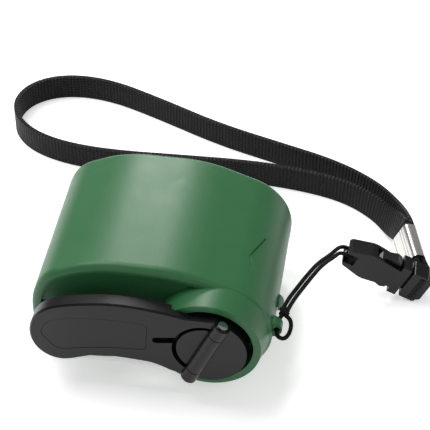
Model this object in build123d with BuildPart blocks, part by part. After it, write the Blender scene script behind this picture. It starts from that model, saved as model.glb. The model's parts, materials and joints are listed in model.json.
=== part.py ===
"""Hand crank phone charger with a folding crank, a generator inside and a wrist strap.

The frame stands on its base: +X to the right, +Y to the back, +Z up, millimetres. The crank is
at the front. Depths are counted from the plane of the front rim, and the other two coordinates
of the body from the crank's centre.
"""
from build123d import *
from math import acos, cos, pi, radians, sin, sqrt, tan
import os

os.makedirs("parts", exist_ok=True)

# ------------------------------------------------------------------ driving dimensions
# body
end_radius = 15.8            # round right end
end_shift = 0.4              # its centre, to the right of the crank's centre
end_drop = 1.7               # its centre, below the crank's centre
body_left = 48.3             # crank's centre to the far left of the body
body_top = 18.3              # crank's centre to the crown
belly_rise = 2.5             # hollow under the body
body_depth = 46.6
wall = 1.8
edge_round = 2.0
rim_width = 2.6
face_recess = 1.0            # front face behind its rim
seam_drop = 6.2              # parting line below the crank's centre
# collar round the hub
collar_height = 6.6
collar_radius = 14.2
collar_bore = 12.2
collar_root = 3.4            # where the collar's flare starts, behind the rim
collar_gap = (127.6, 150.7, 200.0)   # gap's ends in degrees: top at front, top at base, bottom
# crank
hinge_angle = 66.0           # hinge line, from +X
hinge_depth = 8.95           # in front of the rim
hinge_radius = 2.2
hinge_half = 11.0
centre_knuckle = 7.0         # half length of the hub's knuckle
knuckle_gap = 0.25
hinge_pin_radius = 0.8
pin_head_radius = 1.35
pin_head_length = 0.4
hub_radius = 10.8
hub_boss_radius = 7.65
hub_face = 8.7
hub_step = 4.9               # lower level of the hub, under the arm
hub_gap = 0.4                # hub's back to the front face
arm_face = 8.9
arm_thickness = 3.7
arm_reach = 46.5
arm_notch = 8.8              # radius of the notch round the hub's boss
arm_bevel = 0.45
collar_clearance = 0.25      # arm's groove to the collar's front
groove_inner = 11.5
groove_outer = 15.1
slot_width = 2.0
panel_depth = 0.5
panel_gap = 0.12
panel_corners = [3.2, 4.5, 22, 60, 1.5, 1.5, 70, 3.4]
# knob
knob_pivot = 42.0            # left of the crank's centre
knob_drop = 1.0              # below the crank's centre
knob_depth = 4.2             # in front of the rim
knob_radius = 3.0
knob_start = 2.7             # pivot to the near end of the knob
knob_length = 10.6
knob_axle_radius = 1.3
knob_head_radius = 2.1
knob_head_length = 0.6
bracket_radius = 2.1
ear_thickness = 1.2
ear_half = 2.0
ear_rise = 2.8
knob_recess = 2.2
recess_gap = 0.2
well_gap = 0.4
well_wall = 1.2
# fits
running = 0.05
side_play = 0.1
# shaft and gears
shaft_radius = 2.5
bush_wall = 1.1
boss_radius = 5.0
boss_length = 8.0
clip_radius = 4.2
clip_length = 0.8
module = 0.5
backlash = 0.12
input_teeth = 44
gear_1_teeth = (12, 40)
gear_2_teeth = (12, 32)
rotor_teeth = 12
gear_1_angle = 176.0
gear_2_angle = 156.4
rotor_angle = 215.0
gear_width = 3.0
last_gear_width = 2.5
layer_gap = 0.5
first_layer = 13.5
axle_radius = 1.0
axle_head_radius = 1.8
axle_head_length = 0.7
plate_thickness = 2.0
plate_lead = 1.0             # last gear to the gearbox plate
post_radius = 1.9
post_spots = [(-12.0, 14.0), (-14.0, -11.8), (-41.0, 7.5), (-40.5, -9.0)]
post_margin = 0.2
screw_radius = 1.0
screw_head_radius = 1.7
screw_head_length = 1.2
screw_length = 6.0
# case screws
case_spots = [(-19.0, 7.5), (8.5, 7.5), (-36.0, 42.2), (-14.5, 42.0)]
case_boss_radius = 2.4
case_head_radius = 2.0
case_head_depth = 4.0        # seam to the screw head's seat
# generator
can_radius = 10.5
can_wall = 0.8
can_length = 12.5
end_cap_length = 0.8
rotor_shaft_radius = 1.0
magnet_radius = 4.6
magnet_length = 7.0
poles = 6
pole_width = 2.2
pole_bore = 5.2
yoke_width = 1.7
coil_width = 4.0
coil_reach = (5.8, 7.7)
core_start = 2.5
# circuit
board_thickness = 1.6
board_left = 10.0
board_right = 12.2
board_front = 26.2
board_width = 13.6
board_spots = [(-8.2, 27.9), (-8.2, 38.1)]
board_post_radius = 1.9
board_screw_radius = 0.8
usb_width = 13.1
usb_height = 5.7
usb_length = 13.8
usb_wall = 0.3
usb_centre = 33.0            # behind the rim
port_opening = (12.6, 5.0)
tongue_width = 11.0
tongue_thickness = 1.6
tongue_length = 9.0
capacitor_radius = 3.2
capacitor_length = 9.0
# port cover
cover_start = 11.7
cover_end = 40.8
cover_top = -0.5
cover_thickness = 1.25
cover_gap = 0.2
cover_hinge_rise = 0.9       # hinge above the seam
cover_end_radius = 0.75
cover_pin_radius = 0.4
cover_pin_length = 0.9
port_wall = 2.9
tab_radius = 3.0
tab_centre = 12.8
tab_reach = 17.8
tab_thickness = 1.2
tab_bite = 0.3               # tab laid into the cover
# strap lug
lug_x = 15.9
lug_z = -0.95
lug_radius = 2.65
lug_start = 2.6
lug_width = 2.6
lug_hole_x = 17.15
lug_hole_radius = 0.9
# engraved mark
mark_radius = 0.3
mark_points = [(47.5, 25.2), (60.7, 16.0), (53.6, 11.5)]
# strap
cord_radius = 0.575
knot_radius = 1.7
buckle_tilt = 24.0
buckle_end = (54.3, 35.1, -13.0)     # middle of the buckle's outer end, on its front face
buckle_thickness = 5.4
buckle_length = 24.1
frame_half = 4.9
frame_length = 5.0
frame_gap = 0.8
bar_radius = 0.9
bar_inset = 1.1
flange_half = 5.2
flange_length = 2.6
window_length = 7.9
window_half = 3.4
shoulder_half = 4.6
tail_half = 2.75
prong_thickness = 3.0
tail_bar_radius = 0.7
tail_slot = 1.8
webbing_width = 8.0
webbing_thickness = 1.3
webbing_gap = 0.3
bar_gap = 0.1
crimp_lead = 6.45            # bar to the crimp's near end
crimp_length = 11.45
crimp_wall = 0.5
crimp_gap = 0.15
crimp_slot = 0.8

# ------------------------------------------------------------------ frame
hub_x = (body_left - lug_x - lug_radius) / 2
hub_z = end_radius + end_drop
front_y = (hinge_depth + hinge_radius - body_depth) / 2
seam_z = hub_z - seam_drop


def spot(x, depth, z):
    """Return the place of a point given from the crank's centre and the rim plane."""
    return Vector(hub_x + x, front_y + depth, hub_z + z)


def face_at(depth):
    """Return a plane that faces the front, with local x to the right and local y up."""
    return Plane(origin=spot(0, depth, 0), x_dir=(1, 0, 0), z_dir=(0, -1, 0))


def polar(radius, angle):
    """Return a point of a front plane at an angle from +X."""
    return (radius * cos(radians(angle)), radius * sin(radians(angle)))


def save(piece, name):
    """Label a finished sub-part and write its file."""
    piece.part.label = name
    export_step(piece.part, f"parts/{name}.step")


def bend_radii(points):
    """Return the largest arc for each corner of a route."""
    radii = []
    for before, here, after in zip(points, points[1:], points[2:]):
        first = Vector(here) - Vector(before)
        second = Vector(after) - Vector(here)
        half_turn = radians(first.get_angle(second)) / 2
        radii.append(0.45 * min(first.length, second.length) / tan(half_turn))
    return radii


def involute(angle):
    """Return the involute function of an angle in radians."""
    return tan(angle) - angle


def gear_points(teeth, phase):
    """Return a gear's outline, with the middle of a tooth at the phase angle in degrees."""
    pitch = module * teeth / 2
    base = pitch * cos(radians(20))
    tip = pitch + 0.8 * module
    root = pitch - 1.1 * module
    half_tooth = pi / (2 * teeth) - backlash / (4 * pitch)
    flank = []
    for radius in (root, max(base, root + 0.1), pitch, tip):
        pressure = acos(min(1, base / radius))
        narrow = 0.05 / radius if radius < base else 0
        flank.append((radius, half_tooth + involute(radians(20)) - involute(pressure) - narrow))
    points = []
    for tooth in range(teeth):
        middle = radians(phase) + 2 * pi * tooth / teeth
        for radius, half in flank:
            points.append((radius * cos(middle - half), radius * sin(middle - half)))
        for radius, half in reversed(flank):
            points.append((radius * cos(middle + half), radius * sin(middle + half)))
    return points


def gear_centre(origin, first, second, angle):
    """Return the centre of a gear that meshes with one at the origin."""
    x, z = polar(module * (first + second) / 2, angle)
    return (origin[0] + x, origin[1] + z)


gear_1 = gear_centre((0, 0), input_teeth, gear_1_teeth[0], gear_1_angle)
gear_2 = gear_centre(gear_1, gear_1_teeth[1], gear_2_teeth[0], gear_2_angle)
rotor = gear_centre(gear_2, gear_2_teeth[1], rotor_teeth, rotor_angle)
second_layer = first_layer + gear_width + layer_gap
third_layer = second_layer + gear_width + layer_gap
plate_depth = third_layer + last_gear_width + plate_lead
can_depth = plate_depth + plate_thickness
can_end = can_depth + can_length
cavity_depth = face_recess + wall
end_centre = (end_shift, -end_drop)

# ------------------------------------------------------------------ body outline
joint_angle = 70.0
joint = (end_shift + polar(end_radius, joint_angle)[0], polar(end_radius, joint_angle)[1] - end_drop)
profile = [
    joint,
    (joint[0] - (body_top - joint[1]) * tan(radians(joint_angle)), body_top),
    (17.3 - body_left, body_top),
    (3.8 - body_left, body_top - 6.1),
    (-body_left, body_top - 14.8),
    (-body_left, -7),
    (3.1 - body_left, 2.3 - hub_z),
    (8.8 - body_left, -hub_z),
    (-29, -hub_z),
    (-19, belly_rise - hub_z),
    (-9, -hub_z),
    (end_shift, -hub_z),
]
with BuildSketch() as body_outline:
    with BuildLine():
        ThreePointArc((end_shift, -hub_z), (end_shift + end_radius, -end_drop), joint)
        FilletPolyline(*profile, radius=bend_radii(profile))
    make_face()

# ------------------------------------------------------------------ port cover sizes
hinge_z = cover_hinge_rise - seam_drop
hinge_reach = end_radius - 0.05 - cover_end_radius
hinge_x = end_shift + sqrt(hinge_reach**2 - (hinge_z + end_drop) ** 2)
cover_outer = end_radius - 0.05
cover_inner = cover_outer - cover_thickness
port_z = (port_opening[1] / 2 + 0.3) - seam_drop + 0.1
board_top = port_z - usb_height / 2


def end_band(outer, inner, low, high, depth, length, mode=Mode.ADD):
    """Extrude a slice of a ring round the right end, between two heights."""
    with BuildSketch(face_at(depth + length)) as band:
        with Locations(end_centre):
            Circle(outer)
            Circle(inner, mode=Mode.SUBTRACT)
        with Locations((end_shift + end_radius, (low + high) / 2)):
            Rectangle(end_radius, high - low, mode=Mode.INTERSECT)
    extrude(band.sketch, amount=length, mode=mode)


# ------------------------------------------------------------------ space inside the body
well_left = -knob_pivot - knob_radius - well_gap
well_right = -knob_pivot + knob_start + knob_length + knob_head_length + well_gap
well_half = knob_radius + well_gap
well_depth = knob_start + knob_length + knob_head_length + 2 * well_gap + 0.3 - knob_depth

with BuildPart() as cavity:
    with BuildSketch(face_at(body_depth - wall)):
        add(body_outline.sketch)
        offset(amount=-wall)
    extrude(amount=body_depth - wall - cavity_depth)
    # front wall's boss for the crank's bush
    with BuildSketch(face_at(cavity_depth + boss_length)):
        Circle(boss_radius)
    extrude(amount=boss_length, mode=Mode.SUBTRACT)
    # thicker wall behind the port cover
    end_band(end_radius, end_radius - port_wall, -seam_drop, cover_top + 1.7,
             cover_start - 1.8, cover_end - cover_start + 3.6, Mode.SUBTRACT)
    # posts of the gearbox plate
    with BuildSketch(face_at(plate_depth)):
        with Locations(*post_spots):
            Circle(post_radius)
    extrude(amount=plate_depth - cavity_depth, mode=Mode.SUBTRACT)
    # columns of the case screws
    for x, depth in case_spots:
        with BuildSketch(Plane(origin=spot(x, depth, -hub_z))):
            Circle(case_boss_radius)
        extrude(amount=2 * hub_z, mode=Mode.SUBTRACT)
    # posts under the circuit board
    for x, depth in board_spots:
        with BuildSketch(Plane(origin=spot(x, depth, -hub_z))):
            Circle(board_post_radius)
        extrude(amount=hub_z + board_top - board_thickness, mode=Mode.SUBTRACT)
    # walls of the knob's well
    with BuildSketch(face_at(well_depth + well_wall)):
        with Locations(((well_left + well_right) / 2, -knob_drop)):
            Rectangle(well_right - well_left + 2 * well_wall, 2 * (well_half + well_wall))
    extrude(amount=well_depth + well_wall - cavity_depth, mode=Mode.SUBTRACT)

# ------------------------------------------------------------------ whole body before it is parted
with BuildPart() as body:
    with BuildSketch(face_at(body_depth)):
        add(body_outline.sketch)
    extrude(amount=body_depth)
    ends = body.faces().sort_by(Axis.Y)
    fillet(ends[0].edges() + ends[-1].edges(), edge_round)
    with BuildSketch(face_at(face_recess)):
        add(body_outline.sketch)
        offset(amount=-rim_width)
    extrude(amount=face_recess, mode=Mode.SUBTRACT)
    # flared collar
    with BuildSketch(face_at(collar_root)):
        with Locations(end_centre):
            Circle(end_radius - 0.1)
    with BuildSketch(face_at(-collar_height)):
        Circle(collar_radius)
    loft()
    with BuildSketch(face_at(face_recess)):
        Circle(collar_bore)
    extrude(amount=face_recess + collar_height, mode=Mode.SUBTRACT)
    # gap of the collar, its upper end slanted
    gap_front, gap_base, gap_end = collar_gap
    for depth, start in ((face_recess, gap_base), (-collar_height, gap_front)):
        with BuildSketch(face_at(depth)):
            with BuildLine():
                Polyline(
                    polar(collar_bore - 1, start),
                    polar(collar_radius + 4, start),
                    polar(collar_radius + 8, (start + gap_end) / 2),
                    polar(collar_radius + 4, gap_end),
                    polar(collar_bore - 1, gap_end),
                    polar(collar_bore - 4, (start + gap_end) / 2),
                    close=True,
                )
            make_face()
    loft(ruled=True, mode=Mode.SUBTRACT)
    add(cavity.part, mode=Mode.SUBTRACT)
    # crank's bush, knob's well
    with BuildSketch(face_at(cavity_depth + boss_length)):
        Circle(shaft_radius + running + bush_wall)
    extrude(amount=boss_length + wall, mode=Mode.SUBTRACT)
    with BuildSketch(face_at(well_depth)):
        with Locations(((well_left + well_right) / 2, -knob_drop)):
            Rectangle(well_right - well_left, 2 * well_half)
    extrude(amount=well_depth + 1, mode=Mode.SUBTRACT)
    # pocket and hinge holes of the port cover
    pocket_length = cover_end - cover_start + 2 * cover_gap
    end_band(end_radius + 2, cover_inner - 0.1, hinge_z, cover_top + cover_gap,
             cover_start - cover_gap, pocket_length, Mode.SUBTRACT)
    with BuildSketch(face_at(cover_end + cover_gap)):
        with Locations((hinge_x, hinge_z)):
            Circle(cover_end_radius + side_play)
        with Locations((hinge_x + 1.5, hinge_z - (cover_end_radius + side_play) / 2)):
            Rectangle(3, cover_end_radius + side_play)
    extrude(amount=pocket_length, mode=Mode.SUBTRACT)
    with BuildSketch(face_at(cover_end + cover_pin_length + 0.2)):
        with Locations((hinge_x, hinge_z)):
            Circle(cover_pin_radius + running)
    extrude(amount=cover_end - cover_start + 2 * cover_pin_length + 0.4, mode=Mode.SUBTRACT)
    with BuildSketch(face_at(usb_centre + port_opening[0] / 2)):
        with Locations((end_shift + end_radius, port_z)):
            Rectangle(2 * port_wall + 2, port_opening[1])
    extrude(amount=port_opening[0], mode=Mode.SUBTRACT)
    # holes of the gearbox screws
    with BuildSketch(face_at(plate_depth)):
        with Locations(*post_spots):
            Circle(screw_radius)
    extrude(amount=screw_length, mode=Mode.SUBTRACT)
    # case screws: seat from below, thread above
    for x, depth in case_spots:
        with BuildSketch(Plane(origin=spot(x, depth, -hub_z))):
            Circle(case_head_radius + side_play)
        extrude(amount=hub_z - seam_drop - case_head_depth, mode=Mode.SUBTRACT)
        with BuildSketch(Plane(origin=spot(x, depth, -hub_z))):
            Circle(screw_radius)
        extrude(amount=hub_z - seam_drop + screw_length, mode=Mode.SUBTRACT)
    for x, depth in board_spots:
        with BuildSketch(Plane(origin=spot(x, depth, board_top - board_thickness))):
            Circle(board_screw_radius)
        extrude(amount=-screw_length / 2, mode=Mode.SUBTRACT)
    # engraved mark on the shoulder
    mark_route = [
        spot(end_shift + polar(end_radius, angle)[0], depth, polar(end_radius, angle)[1] - end_drop)
        for angle, depth in mark_points
    ]
    for start, stop in zip(mark_route, mark_route[1:]):
        with BuildSketch(Plane(origin=start, z_dir=stop - start)):
            Circle(mark_radius)
        extrude(amount=(stop - start).length, mode=Mode.SUBTRACT)

half_size = 2 * (body_left + body_depth)
with BuildPart() as upper_shell:
    add(body.part)
    with Locations((0, 0, seam_z)):
        Box(half_size, half_size, half_size, align=(Align.CENTER, Align.CENTER, Align.MIN), mode=Mode.INTERSECT)
    # strap lug
    with BuildSketch(face_at(lug_start + lug_width)):
        with Locations((lug_x, lug_z)):
            Circle(lug_radius)
        with Locations((lug_hole_x, lug_z)):
            Circle(lug_hole_radius, mode=Mode.SUBTRACT)
        with Locations(end_centre):
            Circle(end_radius - wall / 2, mode=Mode.SUBTRACT)
    extrude(amount=lug_width)
with BuildPart() as lower_shell:
    add(body.part)
    with Locations((0, 0, seam_z)):
        Box(half_size, half_size, half_size, align=(Align.CENTER, Align.CENTER, Align.MAX), mode=Mode.INTERSECT)
save(upper_shell, "upper_shell")
save(lower_shell, "lower_shell")

with BuildPart() as case_screws:
    for x, depth in case_spots:
        with BuildSketch(Plane(origin=spot(x, depth, -seam_drop - case_head_depth))):
            Circle(screw_radius)
        extrude(amount=case_head_depth + screw_length - 1)
        with BuildSketch(Plane(origin=spot(x, depth, -seam_drop - case_head_depth))):
            Circle(case_head_radius)
            Rectangle(0.4, 2.4, mode=Mode.SUBTRACT)
            Rectangle(2.4, 0.4, mode=Mode.SUBTRACT)
        extrude(amount=-screw_head_length)
save(case_screws, "case_screws")

# ------------------------------------------------------------------ port cover
# pull tab of the cover, trimmed clear of the body beside it
with BuildPart() as tab:
    with BuildSketch(Plane(origin=spot(tab_reach - tab_radius, tab_centre, cover_top - tab_thickness))):
        Circle(tab_radius)
    extrude(amount=tab_thickness)
    with BuildSketch(face_at(cover_end)):
        with Locations(end_centre):
            Circle(cover_outer - tab_bite)
    extrude(amount=cover_end, mode=Mode.SUBTRACT)
    with BuildSketch(face_at(cover_start)):
        with Locations(end_centre):
            Circle(end_radius + cover_gap)
    extrude(amount=cover_start, mode=Mode.SUBTRACT)

with BuildPart() as port_cover:
    end_band(cover_outer, cover_inner, hinge_z, cover_top, cover_start, cover_end - cover_start)
    with BuildSketch(face_at(cover_end)):
        with Locations((hinge_x, hinge_z)):
            Circle(cover_end_radius)
    extrude(amount=cover_end - cover_start)
    with BuildSketch(face_at(cover_end + cover_pin_length)):
        with Locations((hinge_x, hinge_z)):
            Circle(cover_pin_radius)
    extrude(amount=cover_end - cover_start + 2 * cover_pin_length)
    add(tab.part)
save(port_cover, "port_cover")

# ------------------------------------------------------------------ crank
hinge_dir = Vector(cos(radians(hinge_angle)), 0, sin(radians(hinge_angle)))
left_of_hinge = (-sin(radians(hinge_angle)), cos(radians(hinge_angle)))
arm_back = arm_face - arm_thickness


def along_hinge(distance):
    """Return the plane across the hinge line at a distance from the crank's centre."""
    return Plane(origin=spot(0, -hinge_depth, 0) + hinge_dir * distance, x_dir=(0, -1, 0), z_dir=hinge_dir)


def hinge_cylinder(start, stop, radius, mode=Mode.ADD):
    """Extrude a round piece along the hinge line."""
    with BuildSketch(along_hinge(start)) as section:
        Circle(radius)
    extrude(section.sketch, amount=stop - start, mode=mode)


with BuildPart() as crank_hub:
    with BuildSketch(face_at(face_recess - hub_gap)):
        Circle(hub_radius)
    extrude(amount=face_recess - hub_gap + hub_step)
    with BuildSketch(face_at(-hub_step)):
        Circle(hub_radius)
        with Locations((left_of_hinge[0] * (hub_radius - 0.25), left_of_hinge[1] * (hub_radius - 0.25))):
            Rectangle(3 * hub_radius, 2 * hub_radius, rotation=hinge_angle, mode=Mode.SUBTRACT)
        Circle(hub_boss_radius)
    extrude(amount=hub_face - hub_step)
    for side in (-1, 1):
        hinge_cylinder(side * (centre_knuckle + knuckle_gap / 2), side * (hinge_half + 2),
                       hinge_radius + 0.15, Mode.SUBTRACT)
    hinge_cylinder(-centre_knuckle, centre_knuckle, hinge_radius)
    hinge_cylinder(-centre_knuckle - knuckle_gap, centre_knuckle + knuckle_gap, hinge_pin_radius, Mode.SUBTRACT)
    with BuildSketch(face_at(face_recess)):
        Circle(shaft_radius)
    extrude(amount=face_recess + hub_step - wall, mode=Mode.SUBTRACT)
save(crank_hub, "crank_hub")

with BuildPart() as arm_hinge_pin:
    hinge_cylinder(-hinge_half, hinge_half, hinge_pin_radius)
    for side in (-1, 1):
        hinge_cylinder(side * hinge_half, side * (hinge_half + pin_head_length), pin_head_radius)
save(arm_hinge_pin, "arm_hinge_pin")

# outline of the arm on its front face
horn_top = (
    hinge_half * hinge_dir.X + hinge_radius * left_of_hinge[0],
    hinge_half * hinge_dir.Z + hinge_radius * left_of_hinge[1],
)
horn_low = (
    -hinge_half * hinge_dir.X + hinge_radius * left_of_hinge[0],
    -hinge_half * hinge_dir.Z + hinge_radius * left_of_hinge[1],
)
with BuildSketch() as arm_outline:
    with BuildLine():
        Spline((-3.84, 10.85), (-14, 12.9), (-24.3, 13.4), (-34.4, 11.8), (3.5 - arm_reach, 8.1), (-arm_reach, 1),
               (2.6 - arm_reach, -7.2), (-38.4, -9.3), (-31.7, -7.2), (-24.7, -6.1), (-16.6, -6.5), (-11.1, -8),
               tangents=((-0.96, 0.28), (0.9, -0.43)))
        Polyline((-11.1, -8), horn_low, polar(hinge_half, hinge_angle + 180), polar(arm_notch, hinge_angle + 180))
        ThreePointArc(polar(arm_notch, hinge_angle + 180), polar(arm_notch, hinge_angle + 90),
                      polar(arm_notch, hinge_angle))
        Polyline(polar(arm_notch, hinge_angle), polar(hinge_half, hinge_angle), horn_top, (-3.84, 10.85))
    make_face()

with BuildSketch() as panel_outline:
    with BuildLine():
        FilletPolyline((-43.9, 0.6), (-41.9, 4.4), (-37.2, 6.6), (-27, 7.9), (-15.0, 7.6),
                       (-15.6, -1.9), (-27, -2.6), (-39.6, -5.4), close=True, radius=panel_corners)
    make_face()

knob_z = -knob_drop
pocket_left = -knob_pivot - bracket_radius - 0.6
pocket_right = -knob_pivot + knob_start + knob_length + knob_head_length + 0.6
with BuildPart() as crank_arm:
    with BuildSketch(face_at(-arm_back)):
        add(arm_outline.sketch)
    extrude(amount=arm_thickness)
    chamfer(crank_arm.faces().sort_by(Axis.Y)[0].edges().filter_by(GeomType.BSPLINE), arm_bevel)
    # groove over the collar
    with BuildSketch(face_at(-arm_back)):
        Circle(groove_outer)
        Circle(groove_inner, mode=Mode.SUBTRACT)
    extrude(amount=collar_height + collar_clearance - arm_back, mode=Mode.SUBTRACT)
    # slot towards the hub
    with BuildSketch(face_at(-arm_back)):
        with Locations((-10.4, 2.6)):
            SlotOverall(7.0, slot_width, rotation=9)
    extrude(amount=arm_thickness, mode=Mode.SUBTRACT)
    # seat of the panel
    with BuildSketch(face_at(panel_depth - arm_face)):
        add(panel_outline.sketch)
    extrude(amount=panel_depth, mode=Mode.SUBTRACT)
    # recess for the folded knob and the ears of its pivot
    with BuildSketch(face_at(-arm_back)):
        with Locations(((pocket_left + pocket_right) / 2, knob_z)):
            Rectangle(pocket_right - pocket_left, 2 * (knob_radius + recess_gap))
    extrude(amount=knob_recess, mode=Mode.SUBTRACT)
    with BuildSketch(face_at(ear_rise - arm_back)):
        for side in (-1, 1):
            with Locations((-knob_pivot, knob_z + side * (knob_radius + recess_gap + ear_thickness / 2))):
                Rectangle(2 * ear_half, ear_thickness)
    extrude(amount=ear_rise)
    # outer knuckles of the hinge
    for side in (-1, 1):
        hinge_cylinder(side * (centre_knuckle + knuckle_gap), side * hinge_half, hinge_radius)
        hinge_cylinder(side * centre_knuckle, side * (hinge_half + 1), hinge_pin_radius + running, Mode.SUBTRACT)
    # hole of the knob's pivot pin
    with BuildSketch(Plane(origin=spot(-knob_pivot, -knob_depth, knob_z - 10))):
        Circle(hinge_pin_radius)
    extrude(amount=20, mode=Mode.SUBTRACT)
save(crank_arm, "crank_arm")

with BuildPart() as arm_panel:
    with BuildSketch(face_at(panel_depth - arm_face)):
        add(panel_outline.sketch)
        offset(amount=-panel_gap)
    extrude(amount=panel_depth - 0.05)
save(arm_panel, "arm_panel")

pin_half = knob_radius + recess_gap + ear_thickness
with BuildPart() as knob_pivot_pin:
    with BuildSketch(Plane(origin=spot(-knob_pivot, -knob_depth, knob_z - pin_half))):
        Circle(hinge_pin_radius)
    extrude(amount=2 * pin_half)
save(knob_pivot_pin, "knob_pivot_pin")


def across(distance):
    """Return the plane across the folded knob, at a distance from its pivot."""
    return Plane(origin=spot(-knob_pivot + distance, -knob_depth, knob_z), x_dir=(0, 1, 0), z_dir=(1, 0, 0))


knob_end = knob_start + knob_length
with BuildPart() as knob_bracket:
    bracket_half = knob_radius + recess_gap - side_play
    with BuildSketch(Plane(origin=spot(-knob_pivot, -knob_depth, knob_z - bracket_half))):
        Circle(bracket_radius)
    extrude(amount=2 * bracket_half)
    with BuildSketch(across(0)):
        Circle(bracket_radius)
    extrude(amount=knob_start - side_play)
    with BuildSketch(across(0)):
        Circle(knob_axle_radius)
    extrude(amount=knob_end + side_play)
    with BuildSketch(across(knob_end + side_play)):
        Circle(knob_head_radius)
    extrude(amount=knob_head_length - side_play)
    with BuildSketch(Plane(origin=spot(-knob_pivot, -knob_depth, knob_z - 10))):
        Circle(hinge_pin_radius + running)
    extrude(amount=20, mode=Mode.SUBTRACT)
save(knob_bracket, "knob_bracket")

with BuildPart() as crank_knob:
    with BuildSketch(across(knob_start)):
        Circle(knob_radius)
    extrude(amount=knob_length)
    fillet(crank_knob.edges().filter_by(GeomType.CIRCLE), 0.6)
    for part_way in (0.25, 0.5, 0.75):
        with BuildSketch(across(knob_start + part_way * knob_length)):
            Circle(knob_radius + 1)
            Circle(knob_radius - 0.3, mode=Mode.SUBTRACT)
        extrude(amount=0.5, both=True, mode=Mode.SUBTRACT)
    with BuildSketch(across(knob_start)):
        Circle(knob_axle_radius + running)
    extrude(amount=knob_length, mode=Mode.SUBTRACT)
save(crank_knob, "crank_knob")

# ------------------------------------------------------------------ drive shaft and gears
with BuildPart() as drive_shaft:
    with BuildSketch(face_at(plate_depth + plate_thickness)):
        Circle(shaft_radius)
    extrude(amount=plate_depth + plate_thickness + hub_step - wall)
save(drive_shaft, "drive_shaft")

with BuildPart() as shaft_bush:
    with BuildSketch(face_at(cavity_depth + boss_length)):
        Circle(shaft_radius + running + bush_wall)
        Circle(shaft_radius + running, mode=Mode.SUBTRACT)
    extrude(amount=boss_length + wall)
save(shaft_bush, "shaft_bush")

clip_depth = cavity_depth + boss_length + side_play
with BuildPart() as shaft_clip:
    with BuildSketch(face_at(clip_depth + clip_length)):
        Circle(clip_radius)
        with Locations((0, -clip_radius)):
            Rectangle(2 * shaft_radius - 1, 2 * clip_radius, mode=Mode.SUBTRACT)
        Circle(shaft_radius, mode=Mode.SUBTRACT)
    extrude(amount=clip_length)
save(shaft_clip, "shaft_clip")


def toothed(centre, teeth, phase, depth, width):
    """Extrude a toothed wheel that starts at a depth."""
    with BuildSketch(face_at(depth + width)) as profile:
        with BuildLine():
            Polyline(*[(centre[0] + x, centre[1] + z) for x, z in gear_points(teeth, phase)], close=True)
        make_face()
    extrude(profile.sketch, amount=width)


def bored(centre, radius, depth, width):
    """Cut a round bore through a wheel."""
    with BuildSketch(face_at(depth + width)) as bore:
        with Locations(centre):
            Circle(radius)
    extrude(bore.sketch, amount=width, mode=Mode.SUBTRACT)


def gap_phase(teeth, angle):
    """Return the phase that puts a gap of a gear at an angle."""
    return angle + 180 / teeth


with BuildPart() as input_gear:
    toothed((0, 0), input_teeth, gear_1_angle, first_layer, gear_width)
    with BuildSketch(face_at(first_layer)):
        Circle(clip_radius)
    extrude(amount=first_layer - clip_depth - clip_length)
    bored((0, 0), shaft_radius, clip_depth, first_layer)
save(input_gear, "input_gear")

with BuildPart() as compound_gear_1:
    toothed(gear_1, gear_1_teeth[0], gap_phase(gear_1_teeth[0], gear_1_angle + 180), first_layer,
            gear_width + layer_gap)
    toothed(gear_1, gear_1_teeth[1], gear_2_angle, second_layer, gear_width)
    bored(gear_1, axle_radius + running, first_layer, 3 * gear_width)
save(compound_gear_1, "compound_gear_1")

with BuildPart() as compound_gear_2:
    toothed(gear_2, gear_2_teeth[0], gap_phase(gear_2_teeth[0], gear_2_angle + 180), second_layer,
            gear_width + layer_gap)
    toothed(gear_2, gear_2_teeth[1], rotor_angle, third_layer, last_gear_width)
    bored(gear_2, axle_radius + running, second_layer, 3 * gear_width)
save(compound_gear_2, "compound_gear_2")

with BuildPart() as rotor_pinion:
    toothed(rotor, rotor_teeth, gap_phase(rotor_teeth, rotor_angle + 180), third_layer, last_gear_width)
    bored(rotor, rotor_shaft_radius, third_layer, last_gear_width)
save(rotor_pinion, "rotor_pinion")

with BuildPart() as gear_axles:
    for centre, layer in ((gear_1, first_layer), (gear_2, second_layer)):
        head = layer - side_play - axle_head_length
        with BuildSketch(face_at(plate_depth + plate_thickness)):
            with Locations(centre):
                Circle(axle_radius)
        extrude(amount=plate_depth + plate_thickness - head)
        with BuildSketch(face_at(head + axle_head_length)):
            with Locations(centre):
                Circle(axle_head_radius)
        extrude(amount=axle_head_length)
save(gear_axles, "gear_axles")

# plate behind the gears, on the posts of the front wall
with BuildPart() as gearbox_plate:
    margin = post_radius + post_margin
    with BuildSketch(face_at(plate_depth + plate_thickness)) as plate_sketch:
        with BuildLine() as plate_line:
            for x, z in post_spots:
                CenterArc((x, z), margin, 0, 360)
            CenterArc((0, 0), boss_radius, 0, 360)
        make_hull()
    extrude(amount=plate_thickness)
    for centre, layer, width in ((gear_1, second_layer, gear_width), (gear_2, third_layer, last_gear_width)):
        with BuildSketch(face_at(plate_depth)):
            with Locations(centre):
                Circle(axle_head_radius)
        extrude(amount=plate_depth - layer - width - 2 * side_play)
        bored(centre, axle_radius, layer, 2 * plate_depth)
    bored((0, 0), shaft_radius + running, plate_depth, plate_thickness)
    bored(rotor, module * rotor_teeth / 2 + 1, plate_depth, plate_thickness)
    with BuildSketch(face_at(plate_depth + plate_thickness)):
        with Locations(*post_spots):
            Circle(screw_radius)
    extrude(amount=plate_thickness, mode=Mode.SUBTRACT)
    with BuildSketch(face_at(plate_depth + plate_thickness)):
        with Locations(*post_spots):
            Circle(screw_head_radius + side_play)
    extrude(amount=screw_head_length, mode=Mode.SUBTRACT)
save(gearbox_plate, "gearbox_plate")

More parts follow.
